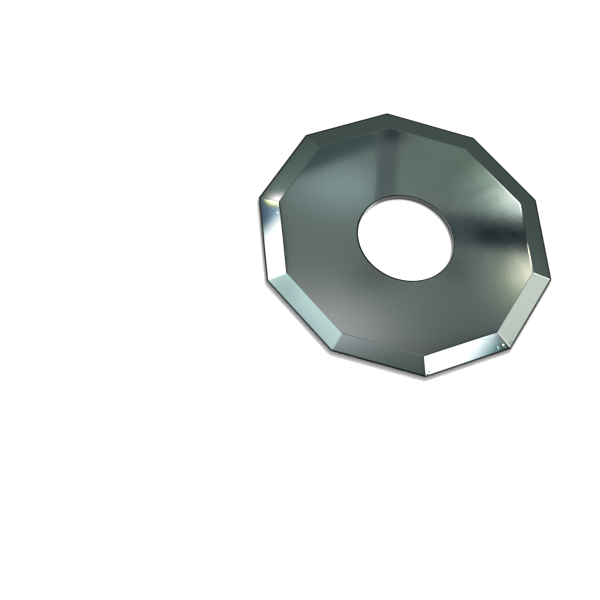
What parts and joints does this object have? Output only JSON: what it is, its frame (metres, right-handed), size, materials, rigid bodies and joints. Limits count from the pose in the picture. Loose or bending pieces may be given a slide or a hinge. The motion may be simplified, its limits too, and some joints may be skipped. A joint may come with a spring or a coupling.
{
  "type": "rotary knife blade",
  "caption": "Flat decagonal knife blade of polished carbide with a round centre bore, every side ground from both faces to a straight cutting edge.",
  "frame": {"origin": "centre of the bore at the lower face, on which the blade lies", "axes": "+Z along the bore's axis, up through the blade; +Y through one of the ten corners, so that +X points at the middle of a side"},
  "size_m": [0.0238, 0.025, 0.0006],
  "materials": {
    "polished_carbide": "tungsten carbide, lapped faces and finely ground flanks, polished to a dark grey mirror"
  },
  "bodies": {
    "root": {"knife_blade": "polished_carbide"}
  },
  "joints": []
}
